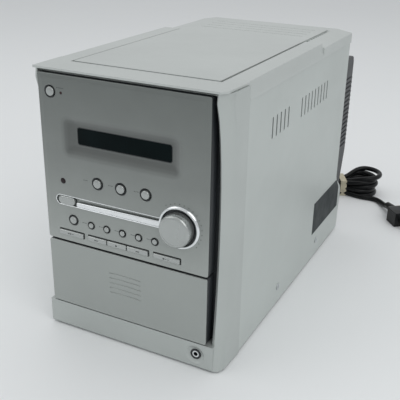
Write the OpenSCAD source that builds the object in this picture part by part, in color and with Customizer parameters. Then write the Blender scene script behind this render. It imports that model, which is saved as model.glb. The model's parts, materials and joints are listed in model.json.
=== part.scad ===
// Compact component music system: a narrow tower with a flat acrylic fascia, a motorised disc
// drawer below it, silver side panels, a raised top plate and a black moulded rear housing.
// X runs to the right as seen from the front, Y to the back and Z up, in millimetres.
// The origin lies under the middle of the tower, on the surface that its feet stand on.

/* [Case] */
// Width over the front bezel and the top cover
case_w = 170; // [168:0.5:172]
// Height of the top cover's plateau
case_h = 232.5; // [231:0.5:235]
// Depth from the face of the volume knob to the back of the rear housing
case_d = 342; // [340:1:350]
// Thickness of the sheet metal panels
sheet = 1; // [0.8:0.1:1.2]
// Depth of the front bezel's side faces, from the chin to the seam with the side panels
bezel_d = 35; // [34:0.5:38]
// How far the bezel's pillars curve in behind the fascia at mid height
pillar_dip = 9; // [4:0.5:10]

/* [Fascia] */
// Left edge of the control panel and the drawer front
fascia_x0 = -77.4; // [-77.6:0.1:-77]
// Right edge of the control panel and the drawer front
fascia_x1 = 71.5; // [71:0.1:72]
// Bottom edge of the control panel
panel_z0 = 87.2; // [86.8:0.1:88]
// Top edge of the control panel
panel_z1 = 228; // [227:0.1:228.4]
// Thickness of the clear acrylic lens on the control panel
lens_t = 1.6; // [1.2:0.1:1.7]
// Depth of the control panel's moulded side walls
panel_d = 12; // [11.8:0.1:12.4]

/* [Controls] */
// Diameter of the power button
power_d = 7.6; // [7:0.1:8.4]
// Diameter of the three round buttons under the display
round_d = 7.4; // [7:0.1:8.4]
// Diameter of the five small disc buttons
disc_button_d = 4.6; // [4:0.1:5]
// Diameter of the source button at the left of the small buttons
source_d = 6.6; // [6:0.1:7.2]
// Outer diameter of the volume knob
knob_d = 26.5; // [25:0.5:27]
// Outer diameter of the chrome ring around the knob
knob_ring_d = 35.5; // [34:0.5:36]
// How far a button travels
button_travel = 0.8; // [0.4:0.1:0.8]

/* [Disc drawer] */
// Bottom edge of the drawer front
drawer_z0 = 25.6; // [25.4:0.1:26]
// Top edge of the drawer front
drawer_z1 = 85.4; // [85:0.1:85.5]
// Diameter of the disc pocket in the tray
pocket_d = 122; // [121:0.5:123]
// Module of the drawer's rack and gears
gear_m = 1; // [1:0.1:1]
// Teeth on the drive gear
drive_teeth = 24; // [24:1:24]
// Teeth on the motor gear
motor_teeth = 16; // [16:1:16]

/* [Mains lead] */
// Diameter of the lead
cord_d = 6; // [5.5:0.1:6.5]
// Length of the tied hank
hank_l = 112; // [110:1:118]
// Width of the hank's end loops
hank_w = 42; // [40:1:44]

/* [Hidden] */
$fn = 48;

half_w = case_w / 2;
// Front plane of the chin
chin_y = 11 - case_d / 2;
// Y of a point d behind the chin
function yc(d) = chin_y + d;
rear_y = case_d / 2;
seam_y = yc(bezel_d);
// Outer faces of the side panels, set in a little from the bezel and the cover
panel_x = half_w - 0.8;
panel_in = panel_x - sheet;
skirt_z = 219;
upper_rear = rear_y - 35;
lower_rear = rear_y - 15;
rear_panel_y = upper_rear - 1.2;
base_z = 6;
// Lowest edges of the chin and of the side panels
chin_z0 = 1;
side_z0 = 1.8;
gap = 0.35;

lens_y0 = yc(-0.5);
panel_y0 = lens_y0 + lens_t + 0.1;
panel_wall = 2.2;
panel_back = panel_y0 + panel_wall;
board_y = yc(10);

// Places of the controls, [x, z]
power_at = [-67.2, 214];
lamp_at = [-56.9, 213.9];
ir_at = [-60.1, 141.1];
round_at = [[-26.4, 145], [-4.8, 145], [17.7, 145]];
source_at = [-51.8, 108];
disc_at = [for (x = [-34.3, -19.3, -4.4, 10.6, 25.4]) [x, 107]];
knob_at = [47, 124.3];
jack_at = [61.7, 13.5];
// Transport keys, [left, right]
keys = [[-66.5, -42.4], [-38, -19.7], [-19.2, -0.9], [-0.4, 19.2], [23.9, 47.8]];
key_z = 95;
key_h = 4.4;
pill = [-57, 124.5, 16, 7];
slot_x0 = -68;
slot_x1 = 29;
slot_h = 9;
display = [-43.5, 41.2, 173.4, 189.3];
dish = [-54.5, 52, 162.5, 198.5];
dish_floor = yc(5);

drive_r = gear_m * drive_teeth / 2;
motor_r = gear_m * motor_teeth / 2;
tray_x0 = -67;
tray_x1 = 61;
tray_xm = (tray_x0 + tray_x1) / 2;
tray_y0 = yc(3.2);
tray_y1 = yc(175);
tray_z0 = 50;
tray_t = 4;
pocket_y = yc(90);
rack_x = 48;
drive_at = [rack_x - drive_r, yc(32)];
motor_at = [rack_x - 2 * drive_r - motor_r, yc(32)];
gear_z = 44;
gear_t = 5;
deck_z = 33;
loader_x0 = -69.5;
loader_x1 = 63.5;
fan_at = [-40, 150];
bay = [10, 74, 98, 188];
bay_y = rear_y - 8;
gland_at = [-55, 100];

// Points along the mains lead, from the gland down to the floor and into the hank
lead_points = [
    [-55, 171, 100], [-55, 186, 100], [-55, 201, 98], [-54, 215, 91], [-53, 225, 80],
    [-52, 230, 66], [-51, 232, 51], [-49, 233, 37], [-45, 233, 23], [-38, 231.5, 11.5],
    [-27, 228.5, 4.6], [-15, 226.3, 3], [-4, 226.2, 3], [5, 228, 3], [12.2, 231.1, 3]
];
// Points along the tail, from the foot of the hank to the plug
tail_points = [
    [90, 257.4, 3], [97.7, 257.6, 3], [104.3, 256.2, 3], [110.5, 252.4, 3.2], [115.4, 247, 3.7],
    [119.8, 240.4, 4.6], [124.6, 233.3, 6], [130.6, 226.1, 8], [136.8, 218.7, 9]
];
hank_at = [58, 265];
hank_turn = 27;
hank_h = 31;
hank_mid_h = 19.4;
hank_mid_w = 25.2;
tie_t = 1.2;
plug_turn = -50;
plug_at = [136.8, 218.7, 9];

silver = [0.74, 0.77, 0.76];
silver_dark = [0.55, 0.58, 0.57];
chrome = [0.85, 0.86, 0.87];
black = [0.08, 0.09, 0.1];

// ---------- helpers ----------

// A rod along Y from depth y0 to y1
module rod(d, y0, y1) {
    translate([0, y0, 0])
        rotate([-90, 0, 0])
            cylinder(d = d, h = y1 - y0);
}

// A slab along Y whose outline is drawn in X and Z
module slab(y0, y1) {
    translate([0, y1, 0])
        rotate([90, 0, 0])
            linear_extrude(y1 - y0)
                children();
}

// A slab along X whose outline is drawn in Y and Z
module side_slab(x0, x1) {
    translate([x0, 0, 0])
        rotate([90, 0, 90])
            linear_extrude(x1 - x0)
                children();
}

// A flat rectangle between two corners
module rect(x0, x1, z0, z1) {
    translate([x0, z0])
        square([x1 - x0, z1 - z0]);
}

// A rectangle with round corners
module round_rect(x0, x1, z0, z1, r) {
    rect(x0 + r, x1 - r, z0, z1);
    rect(x0, x1, z0 + r, z1 - r);
    for (x = [x0 + r, x1 - r], z = [z0 + r, z1 - r])
        translate([x, z])
            circle(r);
}

// A block between two corners
module block(x0, x1, y0, y1, z0, z1) {
    translate([x0, y0, z0])
        cube([x1 - x0, y1 - y0, z1 - z0]);
}

// A point on a cubic curve
function bez(p, t) =
    pow(1 - t, 3) * p[0] + 3 * pow(1 - t, 2) * t * p[1]
    + 3 * (1 - t) * t * t * p[2] + pow(t, 3) * p[3];

// A tube with round rings of radius r around the points of a path
function path_dir(p, i) =
    let (a = p[max(0, i - 1)], b = p[min(len(p) - 1, i + 1)])
    (b - a) / norm(b - a);
module tube(p, r, sides = 8) {
    count = len(p);
    points = [
        for (i = [0 : count - 1])
            let (t = path_dir(p, i), u = cross(t, [1, -0.2, 1]), a = u / norm(u), b = cross(t, a))
            for (k = [0 : sides - 1])
                p[i] + r * (cos(360 * k / sides) * a + sin(360 * k / sides) * b)
    ];
    sides_faces = [
        for (i = [0 : count - 2], k = [0 : sides - 1])
            let (n = (k + 1) % sides)
            [i * sides + k, i * sides + n, (i + 1) * sides + n, (i + 1) * sides + k]
    ];
    caps = [
        [for (k = [sides - 1 : -1 : 0]) k],
        [for (k = [0 : sides - 1]) (count - 1) * sides + k]
    ];
    polyhedron(points, concat(sides_faces, caps));
}

// An involute gear of n teeth, thinned by the backlash
function inv_point(rb, a) = rb * [cos(a) + a * PI / 180 * sin(a), sin(a) - a * PI / 180 * cos(a)];
function turn2(p, a) = [p[0] * cos(a) - p[1] * sin(a), p[0] * sin(a) + p[1] * cos(a)];
module gear_outline(n, m, phase, backlash = 0.12) {
    r = m * n / 2;
    rb = r * cos(20);
    ra = r + 0.9 * m;
    rf = r - 1.2 * m;
    a_pitch = tan(20) * 180 / PI - 20;
    half = 90 / n - backlash / r * 180 / PI / 2;
    a_tip = sqrt(pow(ra / rb, 2) - 1) * 180 / PI;
    flank = [for (k = [0 : 4]) turn2(inv_point(rb, a_tip * k / 4), -half - a_pitch)];
    tooth = concat([turn2([rf, 0], -half - a_pitch)], flank);
    mirrored = [for (k = [len(tooth) - 1 : -1 : 0]) [tooth[k][0], -tooth[k][1]]];
    polygon([
        for (i = [0 : n - 1])
            for (q = concat(tooth, mirrored))
                turn2(q, phase + 360 * i / n)
    ]);
}

// ---------- case ----------

// Depth of a pillar's front edge at height z, along a cubic curve that dips at mid height
pillar_z = [chin_z0 + 0.45, 55, 180, 224];
pillar_y = [0.3, 0.89 * pillar_dip, 1.78 * pillar_dip, -0.4];
pillar_steps = 12;

// A ring of a pillar's outline at step i: front edge, chamfer, side face and the wall behind it
function pillar_ring(i, side, inner) =
    let (
        t = min(1, i / pillar_steps),
        z = i > pillar_steps ? case_h - 2 : bez(pillar_z, t),
        d = i > pillar_steps ? 0.6 : bez(pillar_y, t),
        chamfer = 3 + 3.5 * t,
        front = inner + 1 + (side > 0 ? 1.4 * (1 - t) : 0),
        s = side
    ) [
        [s * inner, yc(d + 0.8), z], [s * front, yc(d), z],
        [s * (half_w - 3.4), yc(d + chamfer), z], [s * (half_w - 1.2), yc(d + chamfer + 5), z],
        [s * (half_w - 0.4), yc(26), z], [s * half_w, seam_y, z],
        [s * (half_w - 2.2), seam_y, z], [s * (half_w - 2.6), yc(19), z], [s * inner, yc(17), z]
    ];
// The two convex faces, front and back, that close a ring
pillar_caps = [[0, 1, 2, 3, 7, 8], [3, 4, 5, 6, 7]];
module pillar(side, inner) {
    rings = [for (i = [0 : pillar_steps + 1]) pillar_ring(i, side, inner)];
    n = len(rings[0]);
    last = len(rings) - 1;
    walls = [
        for (i = [0 : last - 1], k = [0 : n - 1])
            let (m = (k + 1) % n)
            [i * n + k, (i + 1) * n + k, (i + 1) * n + m, i * n + m]
    ];
    top_caps = [for (c = pillar_caps) [for (k = [len(c) - 1 : -1 : 0]) last * n + c[k]]];
    faces = concat(walls, pillar_caps, top_caps);
    flipped = [for (f = faces) [for (k = [len(f) - 1 : -1 : 0]) f[k]]];
    polyhedron([for (r = rings) each r], side > 0 ? faces : flipped);
}

pillar_in_r = 75;
pillar_in_l = 79.3;
chin_top = drawer_z0 - 0.9;

// Side view of the chin, before its lower edge is rounded
module chin_outline() {
    polygon([
        [yc(0), chin_top], [yc(0), chin_z0], [seam_y, chin_z0], [seam_y, chin_z0 + 2],
        [yc(5), chin_z0 + 2.2], [yc(3), chin_z0 + 4.4], [yc(3), chin_top - 2.4],
        [yc(17), chin_top - 2.4], [yc(17), chin_top]
    ]);
}

// What is cut away below and in front of the chin's round lower edge
chin_edge = [[yc(-0.2), 3.6], [yc(0.3), 2.4], [yc(1), 1.5], [yc(3.4), chin_z0 - 0.5]];
module chin_cut() {
    polygon(concat([[yc(-5), -1], [yc(-5), 3.6]], chin_edge, [[yc(3.4), -1]]));
}

module front_bezel() {
    color(silver)
    difference() {
        union() {
            pillar(1, pillar_in_r);
            pillar(-1, pillar_in_l);
            side_slab(-pillar_in_l - 3, pillar_in_r + 2.4)
                chin_outline();
            // Web that carries the control panel, and the bars around the doorway
            block(-pillar_in_l - 1, pillar_in_r + 1, yc(13), yc(15.2), panel_z0 - 4, case_h - 4);
            block(-pillar_in_l - 1, pillar_in_r + 1, yc(13), yc(17), panel_z0 - 4, panel_z0 + 1);
            block(-pillar_in_l - 1, pillar_in_r + 1, yc(5), yc(16.4), case_h - 4.6, case_h - 3.7);
            block(-pillar_in_l - 1, -73, yc(13), yc(15.2), chin_top - 1, panel_z0);
            block(66.5, pillar_in_r + 1, yc(13), yc(15.2), chin_top - 1, panel_z0);
            rod_at(jack_at, 13, 0.4, 7);
        }
        side_slab(-case_w, case_w)
            chin_cut();
        block(fascia_x0 + 5, fascia_x1 - 5, yc(12), yc(18), panel_z0 + 6, panel_z1 - 6);
        rod_at(jack_at, 8.9, -2, 9);
        translate([jack_at[0], yc(-0.2), jack_at[1]])
            rotate([-90, 0, 0])
                cylinder(d1 = 16.8, d2 = 12, h = 1.9);
    }
}

// A rod along Y at a place in X and Z, between two depths behind the chin
module rod_at(at, d, d0, d1) {
    translate([at[0], 0, at[1]])
        rod(d, yc(d0), yc(d1));
}

side_rear = [
    for (k = [0 : 8])
        [bez([upper_rear, upper_rear, lower_rear + 3, lower_rear + 2], k / 8),
         bez([72, 62, 58, 44], k / 8)]
];

// Outline of a side panel in Y and Z
module side_outline() {
    polygon(concat(
        [[seam_y + 0.3, side_z0], [seam_y + 0.3, skirt_z - 0.4], [upper_rear, skirt_z - 0.4]],
        side_rear,
        [[lower_rear - 1, side_z0]]
    ));
}

vent_z0 = 175.5;
vent_z1 = 194;
vent_w = 2.6;
side_screw_at = [[yc(124.6), 18.8], [yc(236.7), 18.2]];

module side_panel(x0) {
    difference() {
        side_slab(x0, x0 + sheet)
            difference() {
                side_outline();
                for (y = [for (k = [0 : 4]) yc(86 + 9 * k), for (k = [0 : 8]) yc(155.5 + 9 * k)])
                    round_rect(y - vent_w / 2, y + vent_w / 2, vent_z0, vent_z1, vent_w / 2 - 0.05);
            }
        for (p = side_screw_at)
            translate([x0 - 1, p[0], p[1]])
                rotate([0, 90, 0])
                    cylinder(d = 3.4, h = sheet + 2);
    }
}
module side_panel_right() { color(silver) side_panel(panel_in); }
module side_panel_left() { color(silver) side_panel(-panel_x); }

// Screws through the side panels and the rear panel
module case_screws() {
    color(silver_dark) {
        for (s = [-1, 1], p = side_screw_at)
            translate([s * panel_x, p[0], p[1]])
                rotate([0, s * 90, 0])
                    screw(6.6, 0.8, 6);
        for (x = [-74, 74], z = [24, 210])
            translate([x, z > 100 ? rear_panel_y : lower_rear - 1, z])
                rotate([-90, 0, 0])
                    screw(6, 1.6, 6);
    }
}

// A pan head screw whose head stands on Z = 0, with a cross recess
module screw(head_d, head_h, length) {
    difference() {
        union() {
            cylinder(d = head_d, h = head_h);
            translate([0, 0, -length])
                cylinder(d = 2.9, h = length + 0.1);
        }
        for (a = [0, 90])
            rotate([0, 0, a])
                translate([-head_d * 0.3, -0.4, head_h - 0.5])
                    cube([head_d * 0.6, 0.8, 1]);
    }
}

module bottom_chassis() {
    y0 = seam_y + 1;
    y1 = lower_rear - 1;
    color(silver_dark)
    difference() {
        union() {
            block(-panel_in + 0.1, panel_in - 0.1, y0, y1, base_z, base_z + sheet);
            for (s = [-1, 1])
                translate([s * (panel_in - 0.1 - sheet / 2) - sheet / 2, y0, base_z])
                    cube([sheet, y1 - y0, 20]);
            block(-panel_in + 0.1, panel_in - 0.1, y1 - sheet, y1, base_z, 34);
        }
        for (s = [-1, 1], p = side_screw_at)
            translate([s * panel_in - 3, p[0], p[1]])
                rotate([0, 90, 0])
                    cylinder(d = 3.1, h = 6);
        for (x = [-74, 74])
            translate([x, y1 - 3, 24])
                rod(3.1, 0, 6);
        for (k = [0 : 11], s = [-1, 1])
            translate([s * 38 + (k - 5.5) * 5 - 1.5, -30, base_z - 1])
                cube([3, 70, 4]);
        for (p = foot_at)
            translate([p[0], p[1], base_z - 1])
                cylinder(d = 5.2, h = 4);
    }
}

foot_at = [for (x = [-66, 66], y = [yc(52), yc(292)]) [x, y]];

// Rubber feet with a stem pressed into the chassis
module feet() {
    color(black)
    for (p = foot_at)
        translate([p[0], p[1], 0]) {
            cylinder(d1 = 17, d2 = 18, h = base_z);
            cylinder(d = 5, h = base_z + sheet);
        }
}

plateau_x = half_w - 2.5;
lip_t = 1.8;
step_y = yc(205);
cap_rear = upper_rear + 1;
low_h = case_h - 4;
plate_x = 64.5;
plate_y0 = yc(27.6);
plate_y1 = yc(279);
recess_x = plate_x + 1.8;

// Plan of the cover's front lip, with its right corner chamfered
module lip_plan() {
    polygon([
        [-half_w + 2, yc(0)], [half_w - 7.5, yc(0)], [half_w - 3.4, yc(5.5)],
        [half_w - 1.6, yc(34)], [half_w - 1.6, seam_y + 2], [-half_w + 1.6, seam_y + 2]
    ]);
}

module top_cover() {
    color(silver)
    difference() {
        union() {
            // Front lip over the bezel
            translate([0, 0, case_h - lip_t])
                linear_extrude(lip_t)
                    lip_plan();
            block(-77, 73, yc(8), seam_y + 2, case_h - 3.5, case_h - 1);
            // Plateau with leaning shoulders
            slab(seam_y + 0.3, step_y)
                polygon([
                    [-half_w, skirt_z], [-half_w, skirt_z + 2.4], [-plateau_x, case_h],
                    [plateau_x, case_h], [half_w, skirt_z + 2.4], [half_w, skirt_z],
                    [half_w - 2, skirt_z], [half_w - 2.2, skirt_z + 2], [plateau_x - 1.6, case_h - 4],
                    [-plateau_x + 1.6, case_h - 4], [-half_w + 2.2, skirt_z + 2], [-half_w + 2, skirt_z]
                ]);
            // Lower rear part
            slab(step_y, cap_rear)
                polygon([
                    [-half_w, skirt_z], [-half_w, low_h], [-half_w + 0.6, low_h + 0.4],
                    [-recess_x - 3, case_h - 1], [recess_x + 3, case_h - 1],
                    [half_w - 0.6, low_h + 0.4], [half_w, low_h], [half_w, skirt_z],
                    [half_w - 2, skirt_z], [half_w - 2, low_h - 2.6],
                    [-half_w + 2, low_h - 2.6], [-half_w + 2, skirt_z]
                ]);
            block(-half_w + 1, half_w - 1, cap_rear - 2, cap_rear, skirt_z, low_h - 1);
        }
        // Recess that holds the top plate
        block(-recess_x, recess_x, yc(26), plate_y1 + 1.4, case_h - 2.2, case_h + 2);
        // Rows of small vents beside the rear of the plate
        for (s = [-1, 1], k = [0 : 7])
            translate([s * (plate_x + 1.1) - 0.7, yc(224 + 6.6 * k), low_h - 4])
                cube([1.4, 4, 12]);
    }
}

louvre_y = [for (k = [0 : 3]) yc(228 + 12.6 * k)];

module top_plate() {
    color(silver)
    difference() {
        union() {
            translate([0, 0, case_h - 2.1])
                linear_extrude(2.4)
                    round_rect(-plate_x, plate_x, plate_y0, plate_y1, 1.5);
            for (s = [-1, 1])
                block(s > 0 ? plate_x - 1 : -recess_x + 0.2, s > 0 ? recess_x - 0.2 : -plate_x + 1,
                      yc(219), plate_y1, case_h - 2.1, case_h - 1.2);
        }
        for (y = louvre_y)
            block(-54, 55, y, y + 0.9, case_h - 0.6, case_h + 2);
        for (s = [-1, 1], k = [0 : 7])
            translate([s * (plate_x + 1.1) - 0.8, yc(223.8 + 6.6 * k), case_h - 4])
                cube([1.6, 4.4, 4]);
    }
}

// ---------- control panel ----------

// Everything that passes through the lens and the panel, grown by a margin
module control_holes(y0, y1, m) {
    at(power_at) rod(power_d + 2 * m, y0, y1);
    at(lamp_at) rod(2.4, y0, y1);
    at(ir_at) rod(4.8, y0, y1);
    at(source_at) rod(source_d + 2 * m, y0, y1);
    at(knob_at) rod(9.8, y0, y1);
    for (p = round_at)
        at(p) rod(round_d + 2 * m, y0, y1);
    for (p = disc_at)
        at(p) rod(disc_button_d + 2 * m, y0, y1);
    slab(y0, y1) {
        pill_outline(m);
        for (k = [keys[0], [keys[1][0], keys[3][1]], keys[4]])
            round_rect(k[0] - m, k[1] + m, key_z - key_h / 2 - m, key_z + key_h / 2 + m, 0.9);
    }
}
module at(p) {
    translate([p[0], 0, p[1]])
        children();
}
module pill_outline(m) {
    round_rect(pill[0] - pill[2] / 2 - m, pill[0] + pill[2] / 2 + m,
               pill[1] - pill[3] / 2 - m, pill[1] + pill[3] / 2 + m, pill[3] / 2 + m - 0.05);
}

module panel_outline(m) {
    round_rect(fascia_x0 + m, fascia_x1 - m, panel_z0 + m, panel_z1 - m, 1.6);
}

module control_panel() {
    color(silver_dark)
    difference() {
        union() {
            slab(panel_y0, panel_back)
                panel_outline(0.2);
            slab(panel_y0, lens_y0 + panel_d)
                difference() {
                    panel_outline(0.2);
                    panel_outline(2.2);
                }
            slab(panel_y0, dish_floor + 2)
                rect(dish[0] - 2, dish[1] + 2, dish[2] - 2, dish[3] + 2);
        }
        control_holes(yc(-2), yc(9), gap);
        // Dished frame around the display
        hull() {
            slab(panel_y0 - 0.1, panel_y0)
                round_rect(dish[0], dish[1], dish[2], dish[3], 6, $fn = 24);
            slab(dish_floor - 0.1, dish_floor)
                round_rect(display[0] - 0.6, display[1] + 0.6, display[2] - 0.6, display[3] + 0.6, 2,
                           $fn = 24);
        }
        slab(dish_floor - 1, dish_floor + 3)
            rect(display[0] - 1.4, display[1] + 1.4, display[2] - 1.4, display[3] + 1.4);
    }
}

module fascia_lens() {
    color([0.6, 0.64, 0.62, 0.5])
    difference() {
        slab(lens_y0, lens_y0 + lens_t)
            panel_outline(0);
        control_holes(yc(-2), yc(9), gap);
    }
}

module display_window() {
    color([0.05, 0.09, 0.1])
    slab(dish_floor + 0.1, dish_floor + 1.9)
        round_rect(display[0] - 1.2, display[1] + 1.2, display[2] - 1.2, display[3] + 1.2, 2.5);
}

module ir_window() {
    color([0.12, 0.05, 0.06])
    at(ir_at)
        rod(4.6, yc(-0.8), yc(3.2));
}

module standby_lamp() {
    color([0.5, 0.08, 0.06])
    at(lamp_at)
        rod(2.2, yc(-0.7), yc(4));
}

// A flat ring that stands on the lens
module ring(outer, inner, height) {
    difference() {
        rod(outer, lens_y0 - height, lens_y0);
        rod(inner, lens_y0 - height - 1, lens_y0 + 1);
    }
}

module button_rings() {
    color(chrome) {
        at(power_at) ring(11.4, power_d + 1, 0.8);
        for (p = round_at)
            at(p) ring(11.6, round_d + 1, 0.7);
        at(source_at) ring(10.4, source_d + 1, 0.6);
    }
}

flange_y0 = panel_back + 0.3;
flange_y1 = flange_y0 + 1.1;
stem_y1 = yc(8.7 - button_travel);

// A round push button: cap through the panel, flange behind it and a stem for its switch
module push_button(p, d, proud) {
    at(p) {
        rod(d, lens_y0 - proud, flange_y1);
        rod(d + 2, flange_y0, flange_y1);
        rod(2.6, flange_y1 - 0.1, stem_y1);
    }
}

module power_button() { color(chrome) push_button(power_at, power_d, 1.3); }
module round_button_1() { color(silver) push_button(round_at[0], round_d, 1.5); }
module round_button_2() { color(silver) push_button(round_at[1], round_d, 1.5); }
module round_button_3() { color(silver) push_button(round_at[2], round_d, 1.5); }
module source_button() { color(silver) push_button(source_at, source_d, 1.4); }
module disc_button_1() { color(chrome) push_button(disc_at[0], disc_button_d, 1.2); }
module disc_button_2() { color(chrome) push_button(disc_at[1], disc_button_d, 1.2); }
module disc_button_3() { color(chrome) push_button(disc_at[2], disc_button_d, 1.2); }
module disc_button_4() { color(chrome) push_button(disc_at[3], disc_button_d, 1.2); }
module disc_button_5() { color(chrome) push_button(disc_at[4], disc_button_d, 1.2); }

// A bar key of the transport row
module bar_key(k) {
    slab(lens_y0 - 1.4, flange_y1)
        round_rect(k[0], k[1], key_z - key_h / 2, key_z + key_h / 2, 0.8);
    block(k[0] + 0.4, k[1] - 0.4, flange_y0, flange_y1, key_z - key_h / 2 - 1.2, key_z + key_h / 2 + 1.2);
    at([(k[0] + k[1]) / 2, key_z])
        rod(2.6, flange_y1 - 0.1, stem_y1);
}
module transport_key_1() { color(chrome) bar_key(keys[0]); }
module transport_key_2() { color(chrome) bar_key(keys[1]); }
module transport_key_3() { color(chrome) bar_key(keys[2]); }
module transport_key_4() { color(chrome) bar_key(keys[3]); }
module transport_key_5() { color(chrome) bar_key(keys[4]); }

module play_button() {
    color(silver) {
        slab(lens_y0 - 1.5, flange_y1)
            pill_outline(0);
        slab(flange_y0, flange_y1)
            pill_outline(1);
        at([pill[0], pill[1]])
            rod(2.6, flange_y1 - 0.1, stem_y1);
    }
}

// Chrome outline of the slot and the legend bar that lies in it
module chrome_slot() {
    z = pill[1];
    color(chrome)
    slab(lens_y0 - 0.8, lens_y0) {
        difference() {
            round_rect(slot_x0, slot_x1, z - slot_h / 2, z + slot_h / 2, slot_h / 2 - 0.05);
            round_rect(slot_x0 + 0.7, slot_x1 + 3, z - slot_h / 2 + 0.7, z + slot_h / 2 - 0.7,
                       slot_h / 2 - 0.75);
        }
        rect(-47.5, slot_x1 - 0.6, z - slot_h / 2 + 1, z + 1.6);
    }
}

module volume_ring() {
    color(chrome)
    at(knob_at)
        ring(knob_ring_d, knob_d + 1.2, 2.2);
}

knob_y0 = -rear_y;
knob_y1 = lens_y0 - 0.5;
shaft_bore = 6.1;

module volume_knob() {
    color(chrome)
    at(knob_at)
    difference() {
        union() {
            difference() {
                union() {
                    rod(knob_d, knob_y0 + 1, knob_y1);
                    translate([0, knob_y0, 0])
                        rotate([-90, 0, 0])
                            cylinder(d1 = knob_d - 2, d2 = knob_d, h = 1);
                }
                rod(knob_d - 4, knob_y0 + 2.2, knob_y1 + 1);
            }
            rod(11, knob_y0 + 2, knob_y1 - 0.4);
        }
        rod(shaft_bore, knob_y0 + 2.2, knob_y1 + 1);
    }
}

module knob_shaft() {
    color(silver_dark)
    at(knob_at)
        rod(6, knob_y0 + 2.3, yc(7.4));
}

module volume_encoder() {
    color([0.2, 0.22, 0.24])
    at(knob_at)
    difference() {
        union() {
            block(-7, 7, yc(5), board_y - 0.05, -7, 7);
            rod(9, yc(1.4), yc(5.1));
        }
        rod(shaft_bore, yc(0), yc(7.8));
    }
}

switch_at = concat([power_at], round_at, [source_at], disc_at, [[pill[0], pill[1]]],
                   [for (k = keys) [(k[0] + k[1]) / 2, key_z]]);

// Circuit board behind the panel, with one push switch for each button
module key_board() {
    color([0.1, 0.3, 0.18]) {
        slab(board_y, board_y + 1.6)
            rect(fascia_x0 + 3.5, fascia_x1 - 3.5, panel_z0 + 3, panel_z1 - 3);
        for (p = switch_at)
            at(p)
                block(-2.4, 2.4, yc(8.9), board_y + 0.1, -2.4, 2.4);
        block(-47, 45, dish_floor + 2.2, board_y + 0.1, 170, 192.5);
    }
}

module headphone_jack() {
    color(black)
    at(jack_at)
    difference() {
        union() {
            rod(8.4, yc(1.8), yc(7.2));
            rod(5.6, yc(1.2), yc(2));
            block(-5.5, 5.5, yc(7.1), yc(16.5), -3.6, 5.2);
        }
        rod(3.6, yc(0), yc(15));
    }
}

// ---------- disc drawer ----------

module drawer_outline(m) {
    round_rect(fascia_x0 + 0.5 + m, fascia_x1 - 0.5 - m, drawer_z0 + m, drawer_z1 - m, 1.4);
}

grille_z = [for (k = [0 : 4]) 49.5 + 4.5 * k];

module drawer_front() {
    color(silver)
    difference() {
        union() {
            slab(lens_y0, yc(3))
                drawer_outline(0);
            slab(lens_y0, yc(11))
                difference() {
                    drawer_outline(0);
                    drawer_outline(1.8);
                }
        }
        // Five short grooves with round ends
        for (z = grille_z)
            slab(lens_y0 - 1, lens_y0 + 0.5)
                round_rect(-18.5, 11.5, z - 0.5, z + 0.5, 0.48, $fn = 16);
    }
}

// A toothed rack whose teeth point to -X, along the drawer's travel
module rack_outline(y0, y1) {
    pitch = PI * gear_m;
    first = ceil((y0 - drive_at[1]) / pitch);
    last = floor((y1 - drive_at[1]) / pitch);
    h = pitch / 4 - 0.06;
    for (i = [first : last])
        translate([rack_x, drive_at[1] + i * pitch])
            polygon([
                [1.3, -h - 1.3 * tan(20)], [1.3, h + 1.3 * tan(20)],
                [-0.9, h - 0.9 * tan(20)], [-0.9, -h + 0.9 * tan(20)]
            ]);
    translate([rack_x + 1.2, y0 - 1])
        square([4, y1 - y0 + 2]);
}

module disc_tray() {
    color([0.2, 0.21, 0.22])
    difference() {
        union() {
            translate([0, 0, tray_z0])
                linear_extrude(tray_t)
                    round_rect(tray_x0, tray_x1, tray_y0, tray_y1, 2);
            translate([0, 0, gear_z])
                linear_extrude(tray_z0 - gear_z + 0.1)
                    rack_outline(yc(20), yc(172));
            // Lug that stiffens the joint with the drawer front
            block(tray_x0 + 4, tray_x1 - 4, tray_y0, tray_y0 + 3, tray_z0 - 5, tray_z0 + tray_t + 8);
        }
        translate([tray_xm, pocket_y, tray_z0 + 2])
            cylinder(d = pocket_d, h = 20, $fn = 96);
        translate([tray_xm, pocket_y, tray_z0 + 1.2])
            cylinder(d = 82, h = 20);
        // Slot for the turntable and the laser
        translate([tray_xm, 0, tray_z0 - 1])
            linear_extrude(10)
                union() {
                    translate([0, pocket_y])
                        circle(d = 36);
                    round_rect(-16, 16, pocket_y - 2, pocket_y + 52, 4);
                }
    }
}

module drive_gear() {
    color([0.85, 0.83, 0.76])
    translate([drive_at[0], drive_at[1], gear_z])
        difference() {
            union() {
                linear_extrude(gear_t)
                    gear_outline(drive_teeth, gear_m, 180 / drive_teeth);
                translate([0, 0, -2])
                    cylinder(d = 9, h = 3);
            }
            translate([0, 0, -3])
                cylinder(d = 4.1, h = 20);
        }
}

module motor_gear() {
    color([0.85, 0.83, 0.76])
    translate([motor_at[0], motor_at[1], gear_z])
        difference() {
            union() {
                linear_extrude(gear_t)
                    gear_outline(motor_teeth, gear_m, 0);
                translate([0, 0, -2])
                    cylinder(d = 7, h = 3);
            }
            translate([0, 0, -3])
                cylinder(d = 2.1, h = 20);
        }
}

// Small motor under the deck, with its shaft up through the gear
module loading_motor() {
    color(silver_dark)
    translate([motor_at[0], motor_at[1], 0]) {
        translate([0, 0, deck_z - 20])
            cylinder(d = 24, h = 17.9);
        translate([0, 0, deck_z - 2.2])
            cylinder(d = 2, h = gear_z + gear_t - deck_z + 2);
    }
}

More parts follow.
